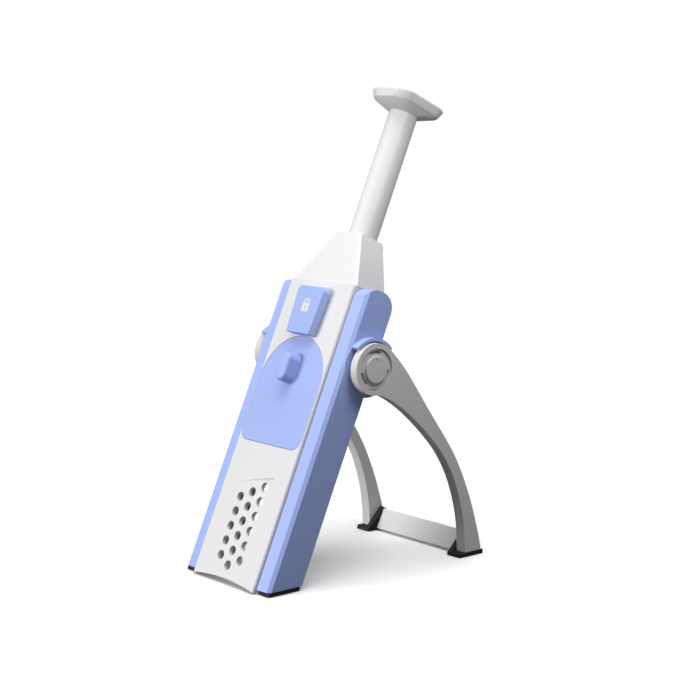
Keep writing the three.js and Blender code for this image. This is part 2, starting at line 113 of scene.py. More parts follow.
def loft(name, rings):
    bm = bmesh.new()
    rows = [[bm.verts.new(point) for point in ring] for ring in rings]
    count = len(rows[0])
    for low, high in zip(rows, rows[1:]):
        for i in range(count):
            bm.faces.new((low[i], low[(i + 1) % count], high[(i + 1) % count], high[i]))
    bm.faces.new(list(reversed(rows[0])))
    bm.faces.new(rows[-1])
    return fromMesh(name, bm)


# An outline faces the front, the right side or up; d is its depth along that facing.
facings = {"front": lambda a, b, d: (a, d, b),
           "side": lambda a, b, d: (d, a, b),
           "up": lambda a, b, d: (a, b, d)}


def prism(name, outline, low, high, facing):
    spot = facings[facing]
    return loft(name, [[spot(a, b, d) for a, b in outline] for d in (low, high)])


def stack(name, layers, facing):
    spot = facings[facing]
    return loft(name, [[spot(a, b, d) for a, b in outline] for d, outline in layers])


def box(name, x0, x1, y0, y1, z0, z1):
    return prism(name, [(x0, y0), (x1, y0), (x1, y1), (x0, y1)], z0, z1, "up")


def axle(name, radius, low, high, deep=0, up=0, steps=64):
    return prism(name, circle(radius, deep, up, steps), low, high, "side")


def rod(name, radius, low, high, across=0, deep=0, steps=64):
    return prism(name, circle(radius, across, deep, steps), low, high, "up")


def drill(name, radius, low, high, across, up, steps=40):
    return prism(name, circle(radius, across, up, steps), low, high, "front")


def bake(obj):
    graph = bpy.context.evaluated_depsgraph_get()
    mesh = bpy.data.meshes.new_from_object(obj.evaluated_get(graph), depsgraph=graph)
    obj.modifiers.clear()
    old = obj.data
    obj.data = mesh
    bpy.data.meshes.remove(old)
    return obj


def combine(obj, operation, tools):
    for tool in tools:
        change = obj.modifiers.new("join", "BOOLEAN")
        change.operation = operation
        change.solver = "EXACT"
        change.object = tool
    bake(obj)
    for tool in tools:
        mesh = tool.data
        bpy.data.objects.remove(tool)
        bpy.data.meshes.remove(mesh)
    return obj


def cut(obj, *tools):
    return combine(obj, "DIFFERENCE", tools)


def join(obj, *tools):
    return combine(obj, "UNION", tools)


def common(obj, *tools):
    return combine(obj, "INTERSECT", tools)


def mirrored(obj, name):
    mesh = obj.data.copy()
    facing = {(face.index, mesh.loops[i].vertex_index): mesh.corner_normals[i].vector.copy()
              for face in mesh.polygons for i in face.loop_indices}
    mesh.transform(Matrix.Scale(-1, 4, Vector((1, 0, 0))))
    mesh.flip_normals()
    turned = [(0, 0, 1)] * len(mesh.loops)
    for face in mesh.polygons:
        for i in face.loop_indices:
            normal = facing[(face.index, mesh.loops[i].vertex_index)]
            turned[i] = (-normal.x, normal.y, normal.z)
    mesh.normals_split_custom_set(turned)
    return newObject(name, mesh)


# A point of the body's side view, given by its height over the floor.
def overFloor(deep, height):
    return deep, deep * slope + height / math.cos(lean)


def floorCut(height):
    near, far, under, half = -30, 80, -60, 70
    outline = [(near, under), (far, under), overFloor(far, height), overFloor(near, height)]
    return prism("floorCut", outline, -half, half, "side")


# Points nearer than weld merge and faces within flat degrees become one. Corners over bevelFrom degrees are
# rounded, and the shading breaks at sharp degrees, or at bareSharp where nothing is rounded.
edging = {"weld": 2e-3, "flat": 0.5, "bevelFrom": 32, "sharp": 30, "bareSharp": 50, "weight": 80}


def soften(obj, width, segments=3, split=False):
    bm = bmesh.new()
    bm.from_mesh(obj.data)
    bmesh.ops.remove_doubles(bm, verts=bm.verts, dist=edging["weld"])
    bmesh.ops.dissolve_limit(bm, angle_limit=math.radians(edging["flat"]), verts=bm.verts, edges=bm.edges)
    if split:
        bmesh.ops.triangulate(bm, faces=[face for face in bm.faces if len(face.verts) > 4])
    bm.to_mesh(obj.data)
    bm.free()
    obj.data.shade_smooth()
    obj.data.set_sharp_from_angle(angle=math.radians(edging["sharp"] if width else edging["bareSharp"]))
    if width:
        edges = obj.modifiers.new("edges", "BEVEL")
        edges.width = width
        edges.segments = segments
        edges.limit_method = "ANGLE"
        edges.angle_limit = math.radians(edging["bevelFrom"])
        edges.miter_outer = "MITER_ARC"
        edges.harden_normals = True
    else:
        weighted = obj.modifiers.new("normals", "WEIGHTED_NORMAL")
        weighted.weight = edging["weight"]
        weighted.keep_sharp = True
    return bake(obj)


def settle(obj, place, body, material, nodes=()):
    obj.data.transform(place)
    obj.data.materials.clear()
    obj.data.materials.append(material)
    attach(obj, body)
    if nodes:
        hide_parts(*nodes)
    return obj


def show(obj, place, body, material, nodes=(), edge=0.5, segments=3):
    return settle(soften(obj, edge, segments), place, body, material, nodes)


# Settles a right-hand piece together with its mirror image.
def settlePair(right, leftName, place, bodies, material, nodes):
    left = mirrored(right, leftName)
    for obj, body, node in zip((right, left), bodies, nodes):
        settle(obj, place, body, material, [node])


# Materials: moulded plastics, rubber and steel, all on Object coordinates.
texture = {"toneDetail": 4, "polishDetail": 3, "grainDetail": 2, "polishScale": 4, "shinier": 0.05,
           "duller": 0.07, "grainHeight": 0.0002, "coatRoughness": 0.2, "ior": 1.48}


def addNoise(nodes, scale, detail):
    noise = nodes.new("ShaderNodeTexNoise")
    noise.inputs["Scale"].default_value = scale
    noise.inputs["Detail"].default_value = detail
    return noise


def mouldedPlastic(name, look):
    material = bpy.data.materials.new(name)
    material.use_nodes = True
    nodes, links = material.node_tree.nodes, material.node_tree.links
    shader = nodes["Principled BSDF"]
    place = nodes.new("ShaderNodeTexCoord")
    tone = addNoise(nodes, look["toneScale"], texture["toneDetail"])
    blend = nodes.new("ShaderNodeMix")
    blend.data_type = "RGBA"
    colour = look["colour"]
    blend.inputs["A"].default_value = (*(c * (1 - look["toneChange"]) for c in colour), 1)
    blend.inputs["B"].default_value = (*(min(1, c * (1 + look["toneChange"])) for c in colour), 1)
    polish = addNoise(nodes, look["toneScale"] * texture["polishScale"], texture["polishDetail"])
    gloss = nodes.new("ShaderNodeMapRange")
    gloss.inputs["To Min"].default_value = look["roughness"] - texture["shinier"]
    gloss.inputs["To Max"].default_value = look["roughness"] + texture["duller"]
    grain = addNoise(nodes, look["grainScale"], texture["grainDetail"])
    relief = nodes.new("ShaderNodeBump")
    relief.inputs["Strength"].default_value = look["grain"]
    relief.inputs["Distance"].default_value = texture["grainHeight"]
    for noise in (tone, polish, grain):
        links.new(place.outputs["Object"], noise.inputs["Vector"])
    links.new(tone.outputs["Fac"], blend.inputs["Factor"])
    links.new(blend.outputs["Result"], shader.inputs["Base Color"])
    links.new(polish.outputs["Fac"], gloss.inputs["Value"])
    links.new(gloss.outputs["Result"], shader.inputs["Roughness"])
    links.new(grain.outputs["Fac"], relief.inputs["Height"])
    links.new(relief.outputs["Normal"], shader.inputs["Normal"])
    shader.inputs["Metallic"].default_value = look.get("metallic", 0)
    shader.inputs["IOR"].default_value = look.get("ior", texture["ior"])
    shader.inputs["Coat Weight"].default_value = look.get("coat", 0)
    shader.inputs["Coat Roughness"].default_value = texture["coatRoughness"]
    return material


def brushedSteel(name, look):
    material = mouldedPlastic(name, look)
    nodes, links = material.node_tree.nodes, material.node_tree.links
    place = nodes["Texture Coordinate"]
    stretch = nodes.new("ShaderNodeMapping")
    stretch.inputs["Scale"].default_value = look["brushing"]
    links.new(place.outputs["Object"], stretch.inputs["Vector"])
    for node in nodes:
        if node.type == "TEX_NOISE":
            links.new(stretch.outputs["Vector"], node.inputs["Vector"])
    return material


finishes = {
    "bluePlastic": {"colour": (0.335, 0.43, 0.79), "toneScale": 14, "toneChange": 0.03, "roughness": 0.4,
                    "grainScale": 1800, "grain": 0.18, "coat": 0.1},
    "whitePlastic": {"colour": (0.68, 0.68, 0.69), "toneScale": 12, "toneChange": 0.02, "roughness": 0.42,
                     "grainScale": 1800, "grain": 0.15, "coat": 0.1},
    "greyPlastic": {"colour": (0.63, 0.63, 0.64), "toneScale": 16, "toneChange": 0.025, "roughness": 0.4,
                    "grainScale": 2200, "grain": 0.2, "coat": 0.05},
    "slatePlastic": {"colour": (0.16, 0.18, 0.23), "toneScale": 20, "toneChange": 0.05, "roughness": 0.5,
                     "grainScale": 1500, "grain": 0.25},
    "blackRubber": {"colour": (0.012, 0.012, 0.014), "toneScale": 60, "toneChange": 0.3, "roughness": 0.78,
                    "grainScale": 900, "grain": 0.5, "ior": 1.45},
    "bladeSteel": {"colour": (0.62, 0.63, 0.65), "toneScale": 8, "toneChange": 0.05, "roughness": 0.27,
                   "grainScale": 220, "grain": 0.12, "metallic": 1, "brushing": (60, 1, 1)},
}
blue = mouldedPlastic("bluePlastic", finishes["bluePlastic"])
white = mouldedPlastic("whitePlastic", finishes["whitePlastic"])
grey = mouldedPlastic("greyPlastic", finishes["greyPlastic"])
slate = mouldedPlastic("slatePlastic", finishes["slatePlastic"])
rubber = mouldedPlastic("blackRubber", finishes["blackRubber"])
steel = brushedSteel("bladeSteel", finishes["bladeSteel"])
slotMaterials = {"blue_plastic": blue, "white_plastic": white, "grey_plastic": grey, "slate_plastic": slate,
                 "black_rubber": rubber, "steel": steel}
for part in frame["record"]["subparts"]:
    node = frame["nodes"][part["node"]]
    node.data.materials.clear()
    node.data.materials.append(slotMaterials[part["material_slot"]])
print("materials made")


# Camera, floor and soft light.
shot = {"azimuth": 49.84, "elevation": 8.14, "distance": 1.2109, "aim": (0.08129, -0.04885, 0.1834),
        "lens": 85.18}
bearing, rise = math.radians(shot["azimuth"]), math.radians(shot["elevation"])
back = Vector((math.sin(bearing) * math.cos(rise), -math.cos(bearing) * math.cos(rise), math.sin(rise)))
lens = bpy.data.cameras.new("camera")
lens.lens = shot["lens"]
lens.sensor_width = 36
lens.clip_end = 50
camera = newObject("camera", lens)
camera.location = Vector(shot["aim"]) + back * shot["distance"]
camera.rotation_euler = back.to_track_quat("Z", "Y").to_euler()
bpy.context.scene.camera = camera
bpy.context.scene.view_settings.view_transform = "Standard"


def softSun(name, direction, spread, strength):
    lamp = bpy.data.lights.new(name, "SUN")
    lamp.angle = math.radians(spread)
    lamp.energy = strength
    light = newObject(name, lamp)
    light.rotation_euler = Vector(direction).to_track_quat("Z", "Y").to_euler()


lighting = {"key": 2.8, "top": 2.45, "rim": 0.7, "sky": 0.12, "bounce": 0.14, "side": 0.4}
softSun("keyLight", (-0.36, -0.85, 0.14), 30, lighting["key"])
softSun("topLight", (0.15, -0.1, 1), 50, lighting["top"])
softSun("rimLight", (-0.3, 0.8, 0.5), 60, lighting["rim"])
sideLamp = bpy.data.lights.new("sideLight", "AREA")
sideLamp.shape = "DISK"
sideLamp.size = 0.16
sideLamp.energy = lighting["side"]
sideLight = newObject("sideLight", sideLamp)
sideLight.location = (0.25, 0.0, 0.43)
sideLight.rotation_euler = Vector((0.24, -0.09, 0.14)).to_track_quat("Z", "Y").to_euler()
sideLight.visible_camera = False
sky = bpy.data.worlds.new("sky")
sky.use_nodes = True
backdrop = sky.node_tree.nodes["Background"]
backdrop.inputs["Color"].default_value = (1, 1, 1, 1)
backdrop.inputs["Strength"].default_value = lighting["sky"]
plainWhite = sky.node_tree.nodes.new("ShaderNodeBackground")
plainWhite.inputs["Color"].default_value = (1, 1, 1, 1)
rays = sky.node_tree.nodes.new("ShaderNodeLightPath")
choose = sky.node_tree.nodes.new("ShaderNodeMixShader")
output = sky.node_tree.nodes["World Output"]
sky.node_tree.links.new(rays.outputs["Is Camera Ray"], choose.inputs["Fac"])
sky.node_tree.links.new(backdrop.outputs["Background"], choose.inputs[1])
sky.node_tree.links.new(plainWhite.outputs["Background"], choose.inputs[2])
sky.node_tree.links.new(choose.outputs["Shader"], output.inputs["Surface"])
bpy.context.scene.world = sky
floor = box("floor", -40, 40, -40, 40, -0.02, -0.0002)
floorPaint = bpy.data.materials.new("floorPaint")
floorPaint.use_nodes = True
floorNodes, floorLinks = floorPaint.node_tree.nodes, floorPaint.node_tree.links
seen, thrown = floorNodes["Principled BSDF"], floorNodes.new("ShaderNodeBsdfDiffuse")
seen.inputs["Base Color"].default_value = (0.92, 0.92, 0.925, 1)
seen.inputs["Roughness"].default_value = 1
seen.inputs["Specular IOR Level"].default_value = 0
thrown.inputs["Color"].default_value = (*[lighting["bounce"]] * 3, 1)
floorRays, floorMix = floorNodes.new("ShaderNodeLightPath"), floorNodes.new("ShaderNodeMixShader")
floorLinks.new(floorRays.outputs["Is Camera Ray"], floorMix.inputs["Fac"])
floorLinks.new(thrown.outputs["BSDF"], floorMix.inputs[1])
floorLinks.new(seen.outputs["BSDF"], floorMix.inputs[2])
floorLinks.new(floorMix.outputs["Shader"], floorNodes["Material Output"].inputs["Surface"])
floor.data.materials.append(floorPaint)
print("camera and light set")


# Helpers for Geometry Nodes trees.
number, whole, stuff = "NodeSocketFloat", "NodeSocketInt", "NodeSocketMaterial"
upright = (math.pi / 2, 0, 0)


def newTree(name, inputs):
    tree = bpy.data.node_groups.new(name, "GeometryNodeTree")
    tree.interface.new_socket("Geometry", in_out="OUTPUT", socket_type="NodeSocketGeometry")
    for label, kind in inputs.items():
        tree.interface.new_socket(label, in_out="INPUT", socket_type=kind)
    return tree, tree.nodes.new("NodeGroupInput"), tree.nodes.new("NodeGroupOutput")


def grow(tree, name, values):
    obj = newObject(name, bpy.data.meshes.new(name))
    change = obj.modifiers.new(name, "NODES")
    change.node_group = tree
    for item in tree.interface.items_tree:
        if item.item_type == "SOCKET" and item.in_out == "INPUT":
            change[item.identifier] = values[item.name]
    return bake(obj)


def feed(tree, socket, value):
    if isinstance(value, bpy.types.NodeSocket):
        tree.links.new(value, socket)
    else:
        socket.default_value = value


def addNode(tree, kind, settings=None, **inputs):
    node = tree.nodes.new(kind)
    for key, value in (settings or {}).items():
        setattr(node, key, value)
    for label, value in inputs.items():
        feed(tree, node.inputs[label.replace("_", " ")], value)
    return node


def reckon(tree, operation, first, second=0.0):
    node = addNode(tree, "ShaderNodeMath", {"operation": operation})
    for socket, value in zip(node.inputs, (first, second)):
        feed(tree, socket, value)
    return node.outputs[0]


def vector(tree, x=0.0, y=0.0, z=0.0):
    return addNode(tree, "ShaderNodeCombineXYZ", X=x, Y=y, Z=z).outputs[0]


def closeTree(tree, exit, geometry, material):
    real = addNode(tree, "GeometryNodeRealizeInstances", Geometry=geometry)
    painted = addNode(tree, "GeometryNodeSetMaterial", Geometry=real.outputs[0], Material=material)
    tree.links.new(painted.outputs[0], exit.inputs[0])


# Puts a copy of a shape on every point and closes the tree.
def copyTo(tree, exit, points, shape, material):
    copies = addNode(tree, "GeometryNodeInstanceOnPoints", Points=points.outputs[0],
                     Instance=shape.outputs[0])
    closeTree(tree, exit, copies.outputs[0], material)


# Front panel: slab with a rebate for the food holder, chute and drain holes in a shallow hollow.
panel = {"half": 38.3, "face": 1.2, "back": 5, "bottom": 0.5, "top": 246.6, "edge": 0.8, "rebate": 2.2,
         "low": 2.4, "archRise": 3.2, "archSteps": 12,
         "slotHalf": 2.8, "slotLow": 218.6, "slotHigh": 235.8, "slotCorner": 1.2,
         "hollow": [(-21, 79.4, 0), (21, 89.2, 1), (21, 9, 0), (-21, 9, -1)], "hollowDepth": 0.85}
holder = {"half": 36.7, "bottom": 112.7, "top": 201.2, "corner": 9, "lip": 5.7, "gap": 0.3}
holes = {"radius": 3.75, "across": 12, "rise": 11.74, "low": 15.7, "depth": 20}


def holderOutline(inset, steps=40):
    half, bottom = holder["half"] - inset, holder["bottom"] + inset
    corner = max(holder["corner"] - inset, 3)
    return (arc(half - corner, bottom + corner, corner, -90, 0, 10)
            + arc(0, holder["top"] - holder["half"], half, 0, 180, steps)
            + arc(-half + corner, bottom + corner, corner, 180, 270, 10))


# Staggered rows of drain-hole cutters: the middle column sits half a step lower, the left one has a hole
# fewer.
def drainHoleTree():
    inputs = {"Radius": number, "Across": number, "Rise": number, "Low": number, "Depth": number,
              "Material": stuff}
    tree, given, exit = newTree("drainHoles", inputs)
    rise = given.outputs["Rise"]
    grid = addNode(tree, "GeometryNodeMeshGrid", Size_X=reckon(tree, "MULTIPLY", given.outputs["Across"], 2),
                   Size_Y=reckon(tree, "MULTIPLY", rise, 5), Vertices_X=3, Vertices_Y=6)
    place = addNode(tree, "ShaderNodeSeparateXYZ")
    tree.links.new(addNode(tree, "GeometryNodeInputPosition").outputs[0], place.inputs[0])
    atLeft = reckon(tree, "LESS_THAN", place.outputs["X"], -1)
    atTop = reckon(tree, "GREATER_THAN", place.outputs["Y"], reckon(tree, "MULTIPLY", rise, 2))
    spare = reckon(tree, "MULTIPLY", atLeft, atTop)
    kept = addNode(tree, "GeometryNodeDeleteGeometry", Geometry=grid.outputs[0], Selection=spare)
    outside = reckon(tree, "GREATER_THAN", reckon(tree, "ABSOLUTE", place.outputs["X"]), 1)
    lift = reckon(tree, "MULTIPLY", outside, reckon(tree, "MULTIPLY", rise, 0.5))
    stepped = addNode(tree, "GeometryNodeSetPosition", Geometry=kept.outputs[0], Offset=vector(tree, y=lift))
    middle = reckon(tree, "MULTIPLY_ADD", rise, 2.5)
    tree.links.new(given.outputs["Low"], middle.node.inputs[2])
    stood = addNode(tree, "GeometryNodeTransform", Geometry=stepped.outputs[0],
                    Translation=vector(tree, z=middle), Rotation=upright)
    pin = addNode(tree, "GeometryNodeMeshCylinder", Vertices=40, Radius=given.outputs["Radius"],
                  Depth=given.outputs["Depth"])
    pointed = addNode(tree, "GeometryNodeTransform", Geometry=pin.outputs["Mesh"], Rotation=upright)
    copyTo(tree, exit, stood, pointed, given.outputs["Material"])
    return tree


def frontPanel():
    p = panel
    half, face, back, edge = p["half"], p["face"], p["back"], p["edge"]
    outline = [(half, back), (-half, back), (-half, face + edge), (-half + edge, face), (half - edge, face),
               (half, face + edge)]
    slab = prism("frontPanel", outline, p["bottom"], p["top"], "up")
    hollow = loft("hollow", [[(a, -3, b) for a, b, share in p["hollow"]],
                             [(a, face + p["hollowDepth"] * share, b) for a, b, share in p["hollow"]]])
    rebate = prism("rebate", holderOutline(-holder["gap"]), -3, face + p["rebate"], "front")
    chute = prism("chute", holderOutline(holder["lip"]), -4, 7, "front")
    opening = roundedBox(-p["slotHalf"], p["slotLow"], p["slotHalf"], p["slotHigh"], p["slotCorner"], 4)
    slot = prism("slot", opening, -5, 8, "front")
    shares = [1 - i / p["archSteps"] for i in range(2 * p["archSteps"] + 1)]
    dome = [((half + 0.5) * share, p["low"] + p["archRise"] * (1 - share ** 2)) for share in shares]
    arch = prism("arch", [(-50, -10), (50, -10)] + dome, -3, 9, "front")
    pins = grow(drainHoleTree(), "drainHoles", {"Radius": holes["radius"], "Across": holes["across"],
                "Rise": holes["rise"], "Low": holes["low"], "Depth": holes["depth"],
                "Material": white})
    cut(slab, hollow, rebate, chute, slot, arch, pins)
    return show(slab, inBody, "body", white, ["front_panel"], 0.45, 3)


frontPanel()
print("front panel made")


# Side covers: hollow shells with a sloped front band, pivot ear, boss and a visor over the leg's hub.
cover = {"inner": 38.9, "outer": 53, "front": 3, "back": 33, "low": 3.5, "round": 13, "roundUp": 235.5,
         "wall": 2.4, "hollowFront": 9.4, "band": [(30, -8), (60, -8), (60, 13.6), (50.6, 4.2), (30, 3.4)],
         "earRadius": 23, "bore": 4.3, "bossRadius": 9.6, "bossReach": 58.8,
         "visorIn": 21.2, "visorOut": 23.6, "visorFrom": 60, "visorTo": 156, "visorReach": 60,
         "screwHole": 1.8, "screwAcross": 46, "screwLow": 60, "screwHigh": 222}


def sideCover():
    c = cover
    hubDeep, hubUp = pivot["deep"], pivot["up"]
    reach = c["outer"] - c["wall"]
    outline = [(c["front"], -5), (c["back"], -5)]
    outline += arc(c["back"] - c["round"], c["roundUp"], c["round"], 0, 90, 16)
    outline += arc(c["front"] + c["round"], c["roundUp"], c["round"], 90, 180, 16)
    shell = prism("rightCover", outline, c["inner"], c["outer"], "side")
    band = prism("band", c["band"], -20, 260, "up")
    cut(shell, band, floorCut(c["low"]))
    hollow = roundedBox(c["hollowFront"], -20, c["back"] - c["wall"], 245, 10)
    cavity = cut(prism("cavity", hollow, 36, reach, "side"), floorCut(c["low"] + 3))
    ear = axle("ear", c["earRadius"], c["inner"], c["outer"], hubDeep, hubUp, 96)
    earHollow = common(axle("earHollow", c["earRadius"] - c["wall"], 41.4, reach, hubDeep, hubUp, 96),
                       box("half", 40, 52, c["hollowFront"], 60, 150, 230))
    boss = axle("boss", c["bossRadius"], c["outer"] - 1, c["bossReach"], hubDeep, hubUp)
    crescent = sector(c["visorIn"], c["visorOut"], c["visorFrom"], c["visorTo"], 48)
    visor = prism("visor", crescent, 50, c["visorReach"], "side")
    visor.data.transform(Matrix.Translation((0, hubDeep, hubUp)))
    bore = axle("bore", c["bore"], 30, 80, hubDeep, hubUp, 40)
    screws = [drill("screwHole", c["screwHole"], 25, 40, c["screwAcross"], up, 24)
              for up in (c["screwLow"], c["screwHigh"])]
    join(shell, ear, boss, visor)
    return soften(cut(shell, cavity, earHollow, bore, *screws), 0.7, 3)


settlePair(sideCover(), "leftCover", inBody, ("body", "body"), blue,
           ("right_side_cover", "left_side_cover"))
print("side covers made")


# Neck: faceted funnel from the body up to the plunger tube. Each ring gives its half width, front, side edge,
# back edge, half width at the back and height.
neck = {"corner": 2, "bore": 13.2,
        "outside": [(38.2, 2.2, 34.6, 42, 15.5, 246.9), (38.2, 2.6, 34.6, 42, 15.5, 248.4),
                    (15.6, 9.8, 35.6, 41.2, 10.5, 289.8), (14.8, 10.8, 35, 40.2, 10, 291.8)],
        "inside": [(35.6, 5, 30, 39.6, 14, 245.9), (14.2, 12, 31, 39.2, 9.2, 282.8)]}
plunger = {"deep": 25.8, "radius": 11.7, "bore": 9.5, "low": 246, "high": 404}


def neckRing(half, near, side, far, back, up):
    k = neck["corner"]
    return [(-half + k, near, up), (half - k, near, up), (half, near + k, up), (half, side, up),
            (back, far, up), (-back, far, up), (-half, side, up), (-half, near + k, up)]


def neckCollar():
    outer = loft("neckCollar", [neckRing(*ring) for ring in neck["outside"]])
    inner = loft("inner", [neckRing(*ring) for ring in neck["inside"]])
    cut(outer, inner, rod("neckBore", neck["bore"], 240, 300, 0, plunger["deep"]))
    return show(outer, inBody, "body", white, ["neck_collar"], 1.1, 4)


neckCollar()


# Plunger: tube and palm grip. Each ring of the grip gives its inset, corner radius and depth under the top.
grip = {"half": 23, "deep": 26.5, "low": 398.4, "top": 411.6, "neckHalf": 12.8, "neckCorner": 12.7,
        "fit": 0.3,
        "rings": [(3.2, 11, 8), (2.2, 12, 7.2), (0.2, 12.5, 1.6), (0.6, 12.2, 0.5), (1.8, 11.5, 0), (6, 9, 0)]}


def plungerTube():
    tube = cut(rod("plungerTube", plunger["radius"], plunger["low"], plunger["high"], 0, plunger["deep"], 96),
               rod("tubeBore", plunger["bore"], 200, 420, 0, plunger["deep"], 96))
    return show(tube, inBody, "plunger", white, ["plunger_tube"], 0.5, 3)


def gripRing(half, deep, radius, up):
    centre = plunger["deep"]
    return [(a, b, up) for a, b in roundedBox(-half, centre - deep, half, centre + deep, radius, 14)]


def handleGrip():
    g, centre, high = grip, plunger["deep"], plunger["high"] + grip["fit"]
    rings = [gripRing(g["neckHalf"], g["neckHalf"], g["neckCorner"], g["low"])]
    rings += [gripRing(g["half"] - inset, g["deep"] - inset, radius, g["top"] - under)
              for inset, radius, under in g["rings"]]
    shape = loft("handleGrip", rings)
    socket = rod("socket", plunger["radius"] + g["fit"], 380, high, 0, centre, 96)
    return show(cut(shape, socket), inBody, "plunger", white, ["handle_grip"], 0.6, 4)


plungerTube()
handleGrip()
print("neck, tube and grip made")


# Food holder: plate, finger knob and the pegged block behind it.
knob = {"half": 6, "low": 161.5, "high": 185.5, "reach": 11.5, "flare": 1.3, "round": 2.4, "sink": 0.3}
block = {"front": 2.2, "back": 4.2, "gap": 0.5, "pegDeep": 4.4, "pegUp": 153, "pegTip": 0.9}
pegs = {"Width": 36, "Height": 54, "Columns": 4, "Rows": 4, "Radius": 1.7, "Length": 0.8, "Material": slate}


def holderPlate():
    plate = prism("holderPlate", holderOutline(0), panel["face"], panel["face"] + 1.9, "front")
    return show(plate, inBody, "pusher", blue, ["pusher_plate"], 0.4, 3)


def fingerKnob():
    face, k = panel["face"], knob
    flare, round, sink = k["flare"], k["round"], k["sink"]
    oval = lambda more: roundedBox(-k["half"] - more, k["low"] - more, k["half"] + more, k["high"] + more,
                                   k["half"] + more - 0.05, 16)
    quarter = [math.radians(90 - 15 * i) for i in range(7)]
    base = [(face - sink - flare * (1 - math.sin(t)), oval(flare * (1 - math.cos(t)) - sink))
            for t in quarter]
    tip = [(face - k["reach"] + round * (1 - math.cos(t)), oval(-sink - round * (1 - math.sin(t))))
           for t in reversed(quarter)]
    shape = stack("fingerKnob", sorted(base + tip, key=lambda layer: layer[0]), "front")
    return show(shape, inBody, "pusher", blue, ["finger_knob"], 0)


def gripPegTree():
    inputs = {"Width": number, "Height": number, "Columns": whole, "Rows": whole, "Radius": number,
              "Length": number, "Material": stuff}
    tree, given, exit = newTree("gripPegs", inputs)
    grid = addNode(tree, "GeometryNodeMeshGrid", Size_X=given.outputs["Width"],
                   Size_Y=given.outputs["Height"], Vertices_X=given.outputs["Columns"],
                   Vertices_Y=given.outputs["Rows"])
    stood = addNode(tree, "GeometryNodeTransform", Geometry=grid.outputs[0], Rotation=upright)
    peg = addNode(tree, "GeometryNodeMeshCone", Vertices=16, Radius_Top=block["pegTip"],
                  Radius_Bottom=given.outputs["Radius"], Depth=given.outputs["Length"])
    pointed = addNode(tree, "GeometryNodeTransform", Geometry=peg.outputs["Mesh"],
                      Rotation=(-math.pi / 2, 0, 0))
    copyTo(tree, exit, stood, pointed, given.outputs["Material"])
    return tree


def pusherBlock():
    front = panel["face"] + block["front"]
    shape = prism("pusherBlock", holderOutline(holder["lip"] + block["gap"]), front, block["back"], "front")
    grips = grow(gripPegTree(), "gripPegs", pegs)
    grips.data.transform(Matrix.Translation((0, block["pegDeep"], block["pegUp"])))
    join(shape, grips)
    return show(shape, inBody, "pusher", slate, ["pusher_block"], 0.2, 2)


holderPlate()
fingerKnob()
pusherBlock()


# Lock tab with a plain padlock mark in white.
tab = {"lowHalf": 13.8, "highHalf": 15.8, "low": 201.5, "high": 239.9, "corner": 4.4, "reach": 8.2,
       "stem": (2.4, 219, 227)}
emblem = {"half": 4.1, "up": 226, "height": 7, "corner": 1, "raised": 0.12, "thick": 0.5, "keyhole": 1,
          "bowIn": 1.9, "bowOut": 3.3, "bowFrom": -12, "bowTo": 192, "bowUp": 0.6}


def lockTab():
    face = panel["face"]
    wide, high, corner = tab["highHalf"], tab["high"], tab["corner"]
    outline = [(-tab["lowHalf"], tab["low"]), (tab["lowHalf"], tab["low"])]
    outline += arc(wide - corner, high - corner, corner, 0, 90, 8)
    outline += arc(-wide + corner, high - corner, corner, 90, 180, 8)
    shape = prism("lockTab", outline, face - tab["reach"], face - 0.3, "front")
    half, low, high = tab["stem"]
    join(shape, box("stem", -half, half, -1, panel["back"] + 0.1, low, high))
    return show(shape, inBody, "lock", blue, ["lock_tab"], 0.7, 4)


def lockMark():
    m, up = emblem, emblem["up"]
    near = panel["face"] - tab["reach"] - m["raised"]
    far = near + m["thick"]
    square = roundedBox(-m["half"], up - m["height"], m["half"], up, m["corner"], 4)
    plate = prism("lockMark", square, near, far, "front")
    bow = [(a, b + up + m["bowUp"]) for a, b in sector(m["bowIn"], m["bowOut"], m["bowFrom"], m["bowTo"], 16)]
    join(plate, prism("shackle", bow, near, far, "front"))
    cut(plate, drill("keyhole", m["keyhole"], near - 1, near + 0.25, 0, up - 3.4, 16))
    return show(plate, inBody, "lock", white, (), 0.08, 2)


lockTab()
lockMark()
print("food holder and lock made")


# Dials: slotted knob and raised cap outside each hub.
dial = {"radius": 15.4, "floor": 59.4, "face": 62, "slotIn": 12.1, "slotOut": 14.2, "slots": (114, 234, 354),
        "slotSpan": 24, "capRadius": 10.6, "capFrom": 62.3, "capFace": 64.35,
        "capEdge": [(0, 0.7), (0.25, 0.2), (0.8, 0), (1.5, 0), (2, 0.35)], "middle": 1, "middleDeep": 0.2,
        "dot": 0.9, "dotOut": 7.4, "dotAt": 114}


def dialKnob():
    d = dial
    shape = axle("thicknessKnob", d["radius"], d["floor"], d["face"], 0, 0, 96)
    span = d["slotSpan"]
    arcs = [sector(d["slotIn"], d["slotOut"], middle - span, middle + span, 16) for middle in d["slots"]]
    return soften(cut(shape, *[prism("slot", outline, 50, 70, "side") for outline in arcs]), 0.3, 3)


def dialCap():
    d = dial
    ring = lambda radius, across: [(across, a, b) for a, b in circle(radius, steps=96)]
    face = d["capFace"]
    rings = [ring(d["capRadius"], d["capFrom"])]
    rings += [ring(d["capRadius"] - inset, face - deep) for inset, deep in d["capEdge"]]
    rings.append(ring(d["middle"], face - d["middleDeep"]))
    shape = loft("thicknessCap", rings)
    dotDeep, dotUp = arc(0, 0, d["dotOut"], d["dotAt"], d["dotAt"], 1)[0]
    cut(shape, axle("dot", d["dot"], face - 0.9, face + 3, dotDeep, dotUp, 24))
    return soften(shape, 0)


